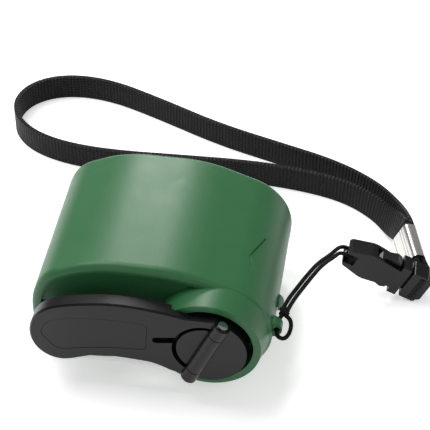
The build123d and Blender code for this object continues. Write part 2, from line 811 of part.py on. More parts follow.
with BuildPart() as gearbox_screws:
    with BuildSketch(face_at(plate_depth + plate_thickness)):
        with Locations(*post_spots):
            Circle(screw_radius)
    extrude(amount=screw_length + plate_thickness - 1)
    with BuildSketch(face_at(plate_depth + plate_thickness)):
        with Locations(*post_spots):
            Circle(screw_head_radius)
    extrude(amount=screw_head_length)
save(gearbox_screws, "gearbox_screws")

# ------------------------------------------------------------------ generator
inner_radius = can_radius - can_wall
core_depth = can_depth + core_start
with BuildPart() as generator_can:
    with BuildSketch(face_at(can_end)):
        with Locations(rotor):
            Circle(can_radius)
    extrude(amount=can_length)
    bored(rotor, inner_radius, can_depth + 1.2, can_length)
    bored(rotor, rotor_shaft_radius + running, can_depth - 1, can_length)
save(generator_can, "generator_can")

with BuildPart() as generator_cap:
    with BuildSketch(face_at(can_end + end_cap_length)):
        with Locations(rotor):
            Circle(can_radius)
    extrude(amount=end_cap_length)
    with BuildSketch(face_at(can_end)):
        with Locations(rotor):
            Circle(inner_radius)
    extrude(amount=1.2)
    bored(rotor, rotor_shaft_radius + running, can_end - 2, 2 + end_cap_length)
save(generator_cap, "generator_cap")

with BuildPart() as rotor_shaft:
    with BuildSketch(face_at(can_end + end_cap_length)):
        with Locations(rotor):
            Circle(rotor_shaft_radius)
    extrude(amount=can_end + end_cap_length - third_layer)
save(rotor_shaft, "rotor_shaft")

with BuildPart() as magnet_rotor:
    with BuildSketch(face_at(core_depth + magnet_length)):
        with Locations(rotor):
            Circle(magnet_radius)
            Circle(rotor_shaft_radius, mode=Mode.SUBTRACT)
    extrude(amount=magnet_length)
save(magnet_rotor, "magnet_rotor")

with BuildPart() as stator_core:
    with BuildSketch(face_at(core_depth + magnet_length)):
        with Locations(rotor):
            Circle(inner_radius)
            Circle(inner_radius - yoke_width, mode=Mode.SUBTRACT)
            with PolarLocations((pole_bore + inner_radius - 0.5) / 2, poles):
                Rectangle(inner_radius - 0.5 - pole_bore, pole_width)
        with Locations(rotor):
            Circle(pole_bore, mode=Mode.SUBTRACT)
    extrude(amount=magnet_length)
save(stator_core, "stator_core")

with BuildPart() as stator_coils:
    reach_low, reach_high = coil_reach
    with BuildSketch(face_at(core_depth + magnet_length + 0.8)):
        with Locations(rotor):
            with PolarLocations((reach_low + reach_high) / 2, poles):
                Rectangle(reach_high - reach_low, coil_width)
    extrude(amount=magnet_length + 1.6)
    with BuildSketch(face_at(core_depth + magnet_length)):
        with Locations(rotor):
            with PolarLocations((reach_low + reach_high) / 2, poles):
                Rectangle(reach_high - reach_low, pole_width)
    extrude(amount=magnet_length, mode=Mode.SUBTRACT)
save(stator_coils, "stator_coils")

# ------------------------------------------------------------------ circuit
with BuildPart() as circuit_board:
    with BuildSketch(Plane(origin=spot(0, board_front, board_top - board_thickness))):
        with Locations(((board_right - board_left) / 2, board_width / 2)):
            Rectangle(board_left + board_right, board_width)
        with Locations(*[(x, depth - board_front) for x, depth in board_spots]):
            Circle(board_screw_radius, mode=Mode.SUBTRACT)
    extrude(amount=board_thickness)
save(circuit_board, "circuit_board")

with BuildPart() as board_screws:
    for x, depth in board_spots:
        with BuildSketch(Plane(origin=spot(x, depth, board_top))):
            Circle(board_screw_radius)
        extrude(amount=-board_thickness - screw_length / 2 + 0.5)
        with BuildSketch(Plane(origin=spot(x, depth, board_top))):
            Circle(2 * board_screw_radius)
        extrude(amount=screw_head_length / 2)
save(board_screws, "board_screws")


def across_port(x):
    """Return the plane across the socket, with local x to the back and local y up."""
    return Plane(origin=spot(x, usb_centre, port_z), x_dir=(0, 1, 0), z_dir=(1, 0, 0))


with BuildPart() as usb_socket:
    with BuildSketch(across_port(board_right - usb_length)):
        Rectangle(usb_width, usb_height)
    extrude(amount=usb_length)
    with BuildSketch(across_port(board_right - usb_length + 1)):
        Rectangle(usb_width - 2 * usb_wall, usb_height - 2 * usb_wall)
    extrude(amount=usb_length, mode=Mode.SUBTRACT)
save(usb_socket, "usb_socket")

with BuildPart() as usb_tongue:
    with BuildSketch(across_port(board_right - usb_length + 1)):
        with Locations((0, 0.8)):
            Rectangle(tongue_width, tongue_thickness)
    extrude(amount=tongue_length)
save(usb_tongue, "usb_tongue")

with BuildPart() as capacitor:
    with BuildSketch(Plane(origin=spot(-4, usb_centre, board_top))):
        with Locations((-1.5, 0)):
            Circle(capacitor_radius)
    extrude(amount=capacitor_length)
save(capacitor, "capacitor")

with BuildPart() as rectifier_diodes:
    with BuildSketch(Plane(origin=spot(-3.4, usb_centre, board_top - board_thickness))):
        with GridLocations(0, 3.2, 1, 4):
            Rectangle(4.0, 1.8)
    extrude(amount=-1.6)
save(rectifier_diodes, "rectifier_diodes")

with BuildPart() as regulator_chip:
    with BuildSketch(Plane(origin=spot(3, usb_centre, board_top - board_thickness))):
        Rectangle(4.0, 5.0)
    extrude(amount=-1.4)
save(regulator_chip, "regulator_chip")

wire_radius = 0.5
wire_rise = board_top + wire_radius
with BuildPart() as generator_wires:
    for side in (-1, 1):
        depth = usb_centre + 2.0 * side
        start_x = rotor[0] + sqrt((can_radius + 0.03) ** 2 - (wire_rise + 3 - rotor[1]) ** 2)
        route = [
            spot(start_x + 0.25, depth, wire_rise + 3),
            spot(start_x + 4, depth + 0.3 * side, wire_rise + 2.6),
            spot(start_x + 8, depth + 0.6 * side, wire_rise + 0.8),
            spot(-board_left + 0.2, depth + 0.5 * side, wire_rise + 0.05),
        ]
        with BuildLine() as wire_line:
            FilletPolyline(*route, radius=bend_radii(route))
        with BuildSketch(Plane(origin=route[0], z_dir=route[1] - route[0])):
            Circle(wire_radius)
        sweep(path=wire_line.wires()[0])
save(generator_wires, "generator_wires")

# ------------------------------------------------------------------ buckle
tilt = radians(buckle_tilt)
buckle_along = Vector(cos(tilt), 0, -sin(tilt))
buckle_wide = Vector(sin(tilt), 0, cos(tilt))
buckle_middle = buckle_thickness / 2


def buckle_face(depth):
    """Return a plane of the buckle, local x along it and local y across, behind its front."""
    return Plane(origin=spot(*buckle_end) + Vector(0, depth, 0), x_dir=buckle_along, z_dir=(0, -1, 0))


def webbing_plane(across_bar):
    """Return the plane across the bar, local x towards the crimp and local y through the legs."""
    centre = spot(*buckle_end) - buckle_along * bar_inset + Vector(0, buckle_middle, 0)
    return Plane(origin=centre + buckle_wide * across_bar, x_dir=strap_along, z_dir=buckle_wide)


strap_lean = radians(19.4)
strap_along = buckle_along * -sin(strap_lean) + Vector(0, cos(strap_lean), 0)
strap_through = buckle_wide.cross(strap_along)


def loop_slab(radius, half, stop, overall, mode=Mode.ADD):
    """Extrude the outline that goes round the bar and along the two legs of the loop."""
    with BuildSketch(webbing_plane(-overall / 2)) as slab:
        with BuildLine():
            CenterArc((0, 0), radius, 0, 360)
            Line((crimp_lead, half), (crimp_lead, -half))
        make_hull()
        with Locations(((crimp_lead + stop) / 2, 0)):
            Rectangle(stop - crimp_lead, 2 * half)
    extrude(slab.sketch, amount=overall, mode=mode)


leg_half = webbing_gap / 2 + webbing_thickness
with BuildPart() as buckle_male:
    neck = -frame_length - frame_gap - flange_length
    window_end = neck - window_length
    with BuildSketch(buckle_face(buckle_thickness)):
        with Locations((-frame_length / 2, 0)):
            RectangleRounded(frame_length, 2 * frame_half, 0.8)
    extrude(amount=buckle_thickness)
    loop_slab(bar_radius + bar_gap + webbing_thickness + 0.2, leg_half + 0.2, 2 * crimp_lead,
              webbing_width + 2 * side_play, Mode.SUBTRACT)
    with BuildSketch(webbing_plane(-frame_half + 0.4)):
        Circle(bar_radius)
    extrude(amount=2 * frame_half - 0.8)
    # neck, guide tongue and the two sprung prongs
    with BuildSketch(buckle_face(buckle_middle + prong_thickness / 2)):
        with BuildLine():
            Polyline(
                (0.3 - frame_length, 3.1),
                (neck - 0.7, 3.1),
                (neck - 0.7, shoulder_half + 0.5),
                (neck - 2.2, shoulder_half + 1.1),
                (window_end + 1.6, window_half + 0.9),
                (window_end - 1.0, 2.6),
                (window_end - 1.0, 1.8),
                (neck, 1.8),
                (neck, 0.9),
                (window_end - 1.6, 0.6),
                (window_end - 1.6, 0),
                (0.3 - frame_length, 0),
                close=True,
            )
        make_face()
        mirror(about=Plane.XZ)
    extrude(amount=prong_thickness)
save(buckle_male, "buckle_male")

with BuildPart() as buckle_female:
    mouth = -frame_length - frame_gap
    tail_end = -buckle_length
    bar_at = tail_end + tail_bar_radius
    with BuildSketch(buckle_face(buckle_thickness)):
        with BuildLine():
            Polyline(
                (mouth, flange_half),
                (neck, flange_half),
                (neck, window_half),
                (window_end, shoulder_half),
                (window_end - 1.5, shoulder_half),
                (tail_end, tail_half),
                (tail_end, 0),
                (mouth, 0),
                close=True,
            )
        make_face()
        mirror(about=Plane.XZ)
    extrude(amount=buckle_thickness)
    chamfer(buckle_female.edges().filter_by(GeomType.LINE).filter_by(Axis.Y).sort_by(Axis.X)[:2], 0.6)
    # room for the prongs, open at the mouth and at both sides
    with BuildSketch(buckle_face(buckle_middle + prong_thickness / 2 + side_play)):
        with Locations(((mouth + window_end - 1.8) / 2, 0)):
            Rectangle(mouth - window_end + 1.8, 2 * 3.3)
        with Locations(((neck + window_end) / 2, 0)):
            Rectangle(neck - window_end, 4 * flange_half)
    extrude(amount=prong_thickness + 2 * side_play, mode=Mode.SUBTRACT)
    # slot behind the tail's bar
    with BuildSketch(buckle_face(buckle_thickness)):
        with Locations((bar_at + tail_bar_radius + tail_slot / 2, 0)):
            Rectangle(tail_slot, 3.4)
    extrude(amount=buckle_thickness, mode=Mode.SUBTRACT)
    for depth, height in ((0, buckle_middle - tail_bar_radius), (buckle_middle + tail_bar_radius, buckle_thickness)):
        with BuildSketch(buckle_face(depth)):
            with Locations((tail_end + tail_bar_radius, 0)):
                Rectangle(2 * tail_bar_radius + 0.4, 3.4)
        extrude(amount=-height, mode=Mode.SUBTRACT)
save(buckle_female, "buckle_female")

# ------------------------------------------------------------------ webbing and crimp
loop_stop = crimp_lead + crimp_length * 0.45
with BuildPart() as buckle_webbing:
    loop_slab(bar_radius + bar_gap + webbing_thickness, leg_half, loop_stop, webbing_width)
    loop_slab(bar_radius + bar_gap, webbing_gap / 2, loop_stop + 1, webbing_width, Mode.SUBTRACT)
save(buckle_webbing, "buckle_webbing")

bar_centre = spot(*buckle_end) - buckle_along * bar_inset + Vector(0, buckle_middle, 0)


def crimp_section(distance, through=0.0):
    """Return the plane across the strap in the crimp, local x through the legs."""
    origin = bar_centre + strap_along * distance + strap_through * through
    return Plane(origin=origin, x_dir=strap_through, z_dir=strap_along)


crimp_half = leg_half + crimp_gap + crimp_wall
crimp_width = webbing_width + 2 * (crimp_gap + crimp_wall)
with BuildPart() as strap_crimp:
    with BuildSketch(crimp_section(crimp_lead)):
        RectangleRounded(2 * crimp_half, crimp_width, 0.6)
        Rectangle(2 * (crimp_half - crimp_wall), crimp_width - 2 * crimp_wall, mode=Mode.SUBTRACT)
        with Locations((-crimp_half, -crimp_width / 4)):
            Rectangle(2 * crimp_wall + 0.2, crimp_slot, mode=Mode.SUBTRACT)
    extrude(amount=crimp_length)
save(strap_crimp, "strap_crimp")

# wrist loop: on edge on the ground, its two ends lifted and tilted into the crimp
ground = webbing_width / 2 - hub_z
wrist_points = [
    (43.6, 63.0), (39.3, 68.3), (31.0, 74.0), (20.5, 77.3), (3.3, 79.5), (-18.7, 79.0), (-43.7, 77.9),
    (-60.7, 80.0), (-72.7, 86.0), (-78.7, 96.0), (-76.2, 107.0), (-65.7, 113.5), (-50.7, 113.0),
    (-32.7, 105.5), (-12.7, 96.0), (7.3, 89.5), (25.3, 83.5), (38.0, 75.5), (45.0, 67.0),
]
wrist_route = [spot(x, y, ground) for x, y in wrist_points]
leg_spread = (webbing_gap + webbing_thickness) / 2
crimp_end = crimp_lead + crimp_length
with BuildPart() as wrist_webbing:
    with BuildLine() as wrist_line:
        FilletPolyline(*wrist_route, radius=bend_radii(wrist_route))
    wrist_wire = wrist_line.wires()[0]
    heading = wrist_route[1] - wrist_route[0]
    with BuildSketch(Plane(origin=wrist_route[0], x_dir=(heading.Y, -heading.X, 0), z_dir=heading)) as wrist_start:
        Rectangle(webbing_thickness, webbing_width)
    sweep(path=wrist_wire)
    for point, neighbour, through in (
        (wrist_route[0], wrist_route[1], -leg_spread),
        (wrist_route[-1], wrist_route[-2], leg_spread),
    ):
        away = neighbour - point
        with BuildSketch(crimp_section(crimp_end, through)):
            Rectangle(webbing_thickness, webbing_width)
        with BuildSketch(Plane(origin=point, x_dir=(away.Y, -away.X, 0), z_dir=away)):
            Rectangle(webbing_thickness, webbing_width)
        loft(ruled=True)
        with BuildSketch(crimp_section(crimp_end, through)):
            Rectangle(webbing_thickness, webbing_width)
        extrude(amount=loop_stop - crimp_end + 0.3)
save(wrist_webbing, "wrist_webbing")

# ------------------------------------------------------------------ cord
knot_centre = spot(18.6, 5.6, 3.0)
tail_bar = spot(*buckle_end) + buckle_along * bar_at + Vector(0, buckle_middle, 0)
turn = tail_bar_radius + cord_radius + 0.12
side_step = Vector(0.93, -0.37, 0) * (cord_radius + 0.1)
strand_points = [spot(19.7, 9.8, 3.2), spot(21.8, 15.0, 3.2), spot(23.9, 20.4, 3.0), spot(26.2, 26.4, 2.0),
                 spot(28.9, 32.6, -0.6)]
near_tail = tail_bar - buckle_along * 2.4
strand_1 = [knot_centre + side_step] + [point + side_step for point in strand_points]
strand_2 = [knot_centre - side_step] + [point - side_step for point in strand_points]
cord_route = (
    strand_1
    + [near_tail - Vector(0, turn, 0), tail_bar + buckle_along * turn - Vector(0, turn, 0)]
    + [tail_bar + buckle_along * turn + Vector(0, turn, 0), near_tail + Vector(0, turn, 0)]
    + strand_2[::-1]
)
with BuildPart() as lanyard_cord:
    with BuildLine() as cord_line:
        FilletPolyline(*cord_route, radius=bend_radii(cord_route))
    cord_wire = cord_line.wires()[0]
    with BuildSketch(Plane(origin=cord_route[0], z_dir=cord_route[1] - cord_route[0])):
        Circle(cord_radius)
    sweep(path=cord_wire)
save(lanyard_cord, "lanyard_cord")

lug_route = [
    knot_centre + Vector(0.55, -0.75, -0.6),
    spot(20.6, 4.4, 1.9),
    spot(20.9, 3.0, -0.9),
    spot(19.6, 1.0, -2.6),
    spot(lug_hole_x + 0.2, 0.5, lug_z - 0.3),
    spot(lug_hole_x, 3.4, lug_z),
    spot(lug_hole_x + 0.2, 6.6, lug_z + 0.3),
    spot(18.3, 5.9, 1.8),
]
with BuildPart() as lug_loop:
    with BuildLine() as lug_line:
        FilletPolyline(*lug_route, radius=bend_radii(lug_route))
    lug_wire = lug_line.wires()[0]
    with BuildSketch(Plane(origin=lug_route[0], z_dir=lug_route[1] - lug_route[0])):
        Circle(cord_radius)
    sweep(path=lug_wire)
save(lug_loop, "lug_loop")

with BuildPart() as cord_knot:
    with Locations(knot_centre):
        Sphere(knot_radius)
    add(lanyard_cord.part, mode=Mode.SUBTRACT)
    add(lug_loop.part, mode=Mode.SUBTRACT)
save(cord_knot, "cord_knot")

# ------------------------------------------------------------------ lengths and radii
for name, route, wire, section in (
    ("lanyard cord", cord_route, cord_wire, pi * cord_radius**2),
    ("lug loop", lug_route, lug_wire, pi * cord_radius**2),
    ("wrist webbing", wrist_route, wrist_wire, webbing_thickness * webbing_width),
):
    print(name, "length", round(wire.length, 1), "volume", round(wire.length * section, 1))
    print("  radii", [round(radius, 1) for radius in bend_radii(route)])
print("lanyard", round(lanyard_cord.part.volume, 1), "loop", round(lug_loop.part.volume, 1),
      "webbing", round(wrist_webbing.part.volume, 1))
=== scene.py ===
"""Looks of a pocket hand crank charger: green case, folding crank, cord, clip buckle and wrist strap."""

import json
import logging
import math
from collections.abc import Callable
from dataclasses import dataclass, field
from enum import Enum

import bpy
from mathutils import Matrix, Vector


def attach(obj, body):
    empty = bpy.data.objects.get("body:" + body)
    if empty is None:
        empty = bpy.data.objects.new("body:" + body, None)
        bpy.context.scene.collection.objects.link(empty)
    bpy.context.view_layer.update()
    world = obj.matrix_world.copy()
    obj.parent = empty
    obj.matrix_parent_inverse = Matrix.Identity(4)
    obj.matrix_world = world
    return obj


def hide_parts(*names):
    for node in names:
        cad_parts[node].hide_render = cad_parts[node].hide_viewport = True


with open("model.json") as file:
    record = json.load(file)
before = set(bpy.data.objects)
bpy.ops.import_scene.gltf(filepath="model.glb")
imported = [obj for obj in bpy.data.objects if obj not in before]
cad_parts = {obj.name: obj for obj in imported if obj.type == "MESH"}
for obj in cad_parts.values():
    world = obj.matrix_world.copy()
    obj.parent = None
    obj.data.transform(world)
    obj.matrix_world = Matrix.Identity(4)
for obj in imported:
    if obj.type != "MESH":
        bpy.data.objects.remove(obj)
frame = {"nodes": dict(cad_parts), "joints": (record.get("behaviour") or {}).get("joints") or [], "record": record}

logger = logging.getLogger("hand_crank_charger")

Place = tuple[float, float, float]

MM = 0.001
WEB_WIDTH = 8.0 * MM
CRANK_CENTRE = next(joint["pos_m"] for joint in frame["joints"] if joint["name"] == "crank_spin")
WAVE_REPEAT = 0.314  # a wave texture of scale 1 repeats after this many units
SQUARE_ON = 0.9  # cosine from which a face or an edge counts as square to an axis


# ------------------------------------------------------------------ small helpers
def spot(x: float, depth: float, z: float) -> Vector:
    """Return a point in metres from millimetres counted from the crank's centre.

    Args:
        x: Millimetres to the right of the crank's centre.
        depth: Millimetres behind the rim of the case.
        z: Millimetres above the crank's centre.

    Returns:
        The point in the row frame.
    """
    return Vector(CRANK_CENTRE) + Vector((x, depth, z)) * MM


def hex_to_linear(code: str) -> tuple[float, float, float, float]:
    """Return the linear colour of an sRGB hex code.

    Args:
        code: Six hex digits, with or without a leading hash.

    Returns:
        Red, green, blue and alpha, linear.
    """
    code = code.lstrip("#")
    channels = [int(code[i : i + 2], 16) / 255 for i in (0, 2, 4)]
    linear = [c / 12.92 if c <= 0.04045 else ((c + 0.055) / 1.055) ** 2.4 for c in channels]
    return (linear[0], linear[1], linear[2], 1.0)


def deselect_all() -> None:
    """Leave edit mode and deselect every object."""
    if bpy.context.object and bpy.context.object.mode != "OBJECT":
        bpy.ops.object.mode_set(mode="OBJECT")
    bpy.ops.object.select_all(action="DESELECT")


def select_only(piece: bpy.types.Object) -> None:
    """Select one object and make it active.

    Args:
        piece: The object.
    """
    deselect_all()
    piece.select_set(True)
    bpy.context.view_layer.objects.active = piece


def apply_modifiers(piece: bpy.types.Object) -> None:
    """Apply every modifier on a piece, in order.

    Args:
        piece: The mesh object.
    """
    select_only(piece)
    for modifier in list(piece.modifiers):
        bpy.ops.object.modifier_apply(modifier=modifier.name)


def finish_mesh(piece: bpy.types.Object, angle: float) -> None:
    """Apply the piece's place, point its faces outward and smooth it up to an angle.

    Args:
        piece: The mesh object.
        angle: The sharpest angle that is still smoothed, in degrees.
    """
    select_only(piece)
    bpy.ops.object.transform_apply(location=True, rotation=True, scale=True)
    bpy.ops.object.mode_set(mode="EDIT")
    bpy.ops.mesh.select_all(action="SELECT")
    bpy.ops.mesh.normals_make_consistent(inside=False)
    bpy.ops.object.mode_set(mode="OBJECT")
    bpy.ops.object.shade_smooth_by_angle(angle=math.radians(angle))


def dress(piece: bpy.types.Object, material: bpy.types.Material) -> None:
    """Give a piece one material."""
    piece.data.materials.clear()
    piece.data.materials.append(material)


# ------------------------------------------------------------------ materials
def add_node(tree: bpy.types.NodeTree, kind: str, **values: object) -> bpy.types.Node:
    """Add a node and set its sockets and settings.

    Args:
        tree: The node tree.
        kind: The node's type name.
        **values: Socket names with underscores for spaces, or the node's own settings.

    Returns:
        The new node.
    """
    node = tree.nodes.new(kind)
    for name, value in values.items():
        socket = node.inputs.get(name.replace("_", " "))
        if socket is not None:
            socket.default_value = value
        else:
            setattr(node, name, value)
    return node


class Finish(Enum):
    """Kinds of surface on the charger."""

    SATIN = "satin plastic or lacquer"
    METAL = "metal"
    WOVEN = "woven"
    BRAIDED = "braided"


@dataclass(frozen=True)
class Surface:
    """One finish: its colours, gloss and the size of its pattern in millimetres."""

    name: str
    kind: Finish
    colour: str
    # the second colour is a random second tone, and on woven surfaces a painted highlight on the thread tops
    second_tone_or_painted_highlight: str
    roughness: float
    grain: float
    relief: float
    specular: float = 0.5
    mottle: float = 6.0
    gloss_range: tuple[float, float] = (0.85, 1.2)
    brushing: float = 0.06
    braid_angle: float = 35.0
    cross_spacing: float = 0.6
    sheen: float = 0.02

    def _shader(self, tree: bpy.types.NodeTree) -> bpy.types.Node:
        """Add the shader and the output and join them.

        Args:
            tree: The material's node tree.

        Returns:
            The shader node.
        """
        output = add_node(tree, "ShaderNodeOutputMaterial")
        shader = add_node(
            tree,
            "ShaderNodeBsdfPrincipled",
            Metallic=1.0 if self.kind is Finish.METAL else 0.0,
            Specular_IOR_Level=self.specular,
        )
        tree.links.new(shader.outputs["BSDF"], output.inputs["Surface"])
        return shader

    def _mottle(
        self,
        tree: bpy.types.NodeTree,
        place: bpy.types.NodeSocket,
        shader: bpy.types.Node,
        weave: bpy.types.NodeSocket | None,
    ) -> None:
        """Mix the two colours and vary the roughness by a slow noise; on woven surfaces the colours follow the
        weave instead, which paints a highlight on the tops of the threads and painted shade in the grooves between
        them.

        Args:
            tree: The material's node tree.
            place: The coordinates, in metres.
            shader: The shader that takes the colour and roughness.
            weave: The height of the weave, if the surface is woven; it places the painted highlight on the thread
                tops and the painted shade in the grooves.
        """
        slow = add_node(tree, "ShaderNodeTexNoise", Scale=1 / (self.mottle * MM), Detail=3.0, Roughness=0.6)
        tree.links.new(place, slow.inputs["Vector"])
        blend = add_node(tree, "ShaderNodeMix", data_type="RGBA")
        colours = [s for s in blend.inputs if s.type == "RGBA"]
        colours[0].default_value = hex_to_linear(self.colour)
        colours[1].default_value = hex_to_linear(self.second_tone_or_painted_highlight)
        # on woven surfaces the weave's height picks the colour: painted highlight on the thread tops, painted
        # shade in the grooves
        tree.links.new(weave or slow.outputs["Fac"], blend.inputs["Factor"])
        mixed = next(s for s in blend.outputs if s.type == "RGBA")
        tree.links.new(mixed, shader.inputs["Base Color"])
        gloss = add_node(tree, "ShaderNodeMapRange")
        low, high = self.gloss_range
        gloss.inputs["To Min"].default_value = self.roughness * low
        gloss.inputs["To Max"].default_value = min(1.0, self.roughness * high)
        tree.links.new(slow.outputs["Fac"], gloss.inputs["Value"])
        tree.links.new(gloss.outputs["Result"], shader.inputs["Roughness"])

    def _fine_relief(self, tree: bpy.types.NodeTree, place: bpy.types.NodeSocket) -> bpy.types.NodeSocket:
        """Return the height of a moulded or brushed surface.

        Args:
            tree: The material's node tree.
            place: The coordinates, in metres.

        Returns:
            The height, from 0 to 1.
        """
        fine = add_node(tree, "ShaderNodeTexNoise", Scale=1 / (self.grain * MM), Detail=2.0)
        if self.kind is Finish.METAL:
            drawn = add_node(tree, "ShaderNodeMapping")
            drawn.inputs["Scale"].default_value = (1.0, self.brushing, 1.0)
            tree.links.new(place, drawn.inputs["Vector"])
            place = drawn.outputs["Vector"]
        tree.links.new(place, fine.inputs["Vector"])
        return fine.outputs["Fac"]

    def _woven_relief(self, tree: bpy.types.NodeTree, place: bpy.types.NodeSocket) -> bpy.types.NodeSocket:
        """Return the height of a ribbed weave, along and across the piece's own map.

        Args:
            tree: The material's node tree.
            place: The piece's own map, in metres along and across.

        Returns:
            The height, from 0 to 1.
        """
        turn = math.radians(self.braid_angle if self.kind is Finish.BRAIDED else 0)
        waves = []
        for angle, spacing in ((turn, 1.0), (math.pi / 2 - turn, self.cross_spacing)):
            mapped = add_node(tree, "ShaderNodeMapping")
            mapped.inputs["Rotation"].default_value = (0, 0, angle)
            scale = WAVE_REPEAT / (self.grain * spacing * MM)
            wave = add_node(tree, "ShaderNodeTexWave", Scale=scale, Distortion=0.6)
            tree.links.new(place, mapped.inputs["Vector"])
            tree.links.new(mapped.outputs["Vector"], wave.inputs["Vector"])
            waves.append(wave.outputs["Fac"])
        both = add_node(tree, "ShaderNodeMath", operation="MULTIPLY")
        tree.links.new(waves[0], both.inputs[0])
        tree.links.new(waves[1], both.inputs[1])
        return both.outputs["Value"]

    def build(self) -> bpy.types.Material:
        """Make the material.

        Returns:
            The new material.
        """
        material = bpy.data.materials.new(self.name)
        material.use_nodes = True
        tree = material.node_tree
        tree.nodes.clear()
        shader = self._shader(tree)
        coordinates = add_node(tree, "ShaderNodeTexCoord")
        woven = self.kind in (Finish.WOVEN, Finish.BRAIDED)
        if woven:
            height = self._woven_relief(tree, coordinates.outputs["UV"])
            shader.inputs["Sheen Weight"].default_value = self.sheen
            shader.inputs["Sheen Roughness"].default_value = 0.5
        else:
            height = self._fine_relief(tree, coordinates.outputs["Object"])
        # woven surfaces pass their weave height as the colour mix, painting a highlight on the thread tops and
        # shade in the grooves
        self._mottle(tree, coordinates.outputs["Object"], shader, height if woven else None)
        bump = add_node(tree, "ShaderNodeBump", Strength=0.9, Distance=self.relief * MM)
        tree.links.new(height, bump.inputs["Height"])
        tree.links.new(bump.outputs["Normal"], shader.inputs["Normal"])
        return material


# name, kind, the two colours (on woven pieces: painted shade in the grooves and painted highlight on the thread
# tops), roughness, grain and relief in millimetres, specular level
SURFACES = (
    Surface("green_shell", Finish.SATIN, "#2A633A", "#2D673D", 0.4, 0.28, 0.03, 0.4),
    Surface("black_plastic", Finish.SATIN, "#08080A", "#0B0B0D", 0.3, 0.3, 0.01, 0.3),
    Surface("buckle_plastic", Finish.SATIN, "#08080A", "#0C0C0D", 0.34, 0.35, 0.012, 0.3),
    Surface("steel", Finish.METAL, "#8F9092", "#9A9B9C", 0.32, 0.3, 0.01),
    Surface("bright_pin", Finish.METAL, "#C9CACB", "#D5D6D6", 0.16, 0.2, 0.004),
    Surface("bright_nickel", Finish.METAL, "#D2D1CC", "#DCDBD7", 0.24, 0.25, 0.02),
    Surface("zinc_can", Finish.METAL, "#9A9C9D", "#A6A8A9", 0.35, 0.3, 0.01),
    Surface("copper", Finish.METAL, "#A85E36", "#B86C40", 0.3, 0.2, 0.03),
    Surface("brass_bush", Finish.METAL, "#B9954F", "#C7A45E", 0.3, 0.2, 0.01),
    Surface("white_gear", Finish.SATIN, "#DAD9D2", "#E3E2DC", 0.4, 0.3, 0.01),
    Surface("dark_magnet", Finish.SATIN, "#2A2A2C", "#343436", 0.55, 0.3, 0.02),
    Surface("green_board", Finish.SATIN, "#0E4A26", "#135C30", 0.35, 0.8, 0.02),
    Surface("red_wire", Finish.SATIN, "#8A1414", "#9B1A1A", 0.4, 0.3, 0.01),
    # cord and webbing: the lighter second colour is a painted highlight on the thread tops, fading to the darker
    # first colour as painted shade in the grooves
    Surface("black_cord", Finish.BRAIDED, "#020202", "#181818", 0.6, 0.5, 0.15, 0.15),
    Surface("black_webbing", Finish.WOVEN, "#010101", "#333333", 0.5, 1.15, 0.7, 0.15),
)


# ------------------------------------------------------------------ strap pieces
def route_curve(name: str, points: list[Vector], tilts: list[float] | None = None) -> bpy.types.Object:
    """Lay a smooth curve that follows a route.

    Args:
        name: The curve's name.
        points: The route's points, in metres.
        tilts: The turn of the section at each point, in radians.

    Returns:
        The curve object, at the origin.
    """
    deselect_all()
    bpy.ops.curve.primitive_nurbs_path_add(location=(0, 0, 0))
    path = bpy.context.object
    path.name = name
    path.data.dimensions = "3D"
    path.data.twist_mode = "Z_UP"
    path.data.resolution_u = 16
    path.data.splines.clear()
    spline = path.data.splines.new("NURBS")
    spline.points.add(len(points) - 1)
    for index, point in enumerate(points):
        spline.points[index].co = (*point, 1.0)
        spline.points[index].tilt = tilts[index] if tilts else 0.0
    spline.order_u = 3
    spline.use_endpoint_u = True
    return path


@dataclass
class Webbing:
    """A flat woven strap laid along a route, on edge."""

    name: str
    route: list[Vector]
    tilts: list[float] | None = None
    width: float = WEB_WIDTH
    thickness: float = 1.3 * MM
    step: float = 0.5 * MM
    across: int = 10
    smooth: float = 50.0
    length: float = field(init=False, default=0.0)

    def build(self, material: bpy.types.Material) -> bpy.types.Object:
        """Make the strap's mesh.

        Args:
            material: The woven material.

        Returns:
            The strap, with its map in metres along and across.
        """
        path = route_curve(f"{self.name}_route", self.route, self.tilts)
        self.length = path.data.splines[0].calc_length()
        count = round(self.length / self.step)
        deselect_all()
        bpy.ops.mesh.primitive_grid_add(x_subdivisions=count, y_subdivisions=self.across, size=1)
        strap = bpy.context.object
        strap.name = self.name
        bpy.ops.object.mode_set(mode="EDIT")
        bpy.ops.mesh.select_all(action="SELECT")
        bpy.ops.transform.resize(value=(self.length, self.width, 1))
        bpy.ops.transform.rotate(value=math.pi / 2, orient_axis="X", center_override=(0, 0, 0))
        bpy.ops.transform.translate(value=(self.length / 2, 0, 0))
        bpy.ops.object.mode_set(mode="OBJECT")
        for loop in strap.data.loops:
            point = strap.data.vertices[loop.vertex_index].co
            strap.data.uv_layers.active.data[loop.index].uv = (point.x, point.z)
        follow = strap.modifiers.new("follow", "CURVE")
        follow.object = path
        follow.deform_axis = "POS_X"
        body = strap.modifiers.new("body", "SOLIDIFY")
        body.thickness = self.thickness
        body.offset = 0.0
        apply_modifiers(strap)
        finish_mesh(strap, self.smooth)
        dress(strap, material)
        bpy.data.objects.remove(path, do_unlink=True)
        return strap


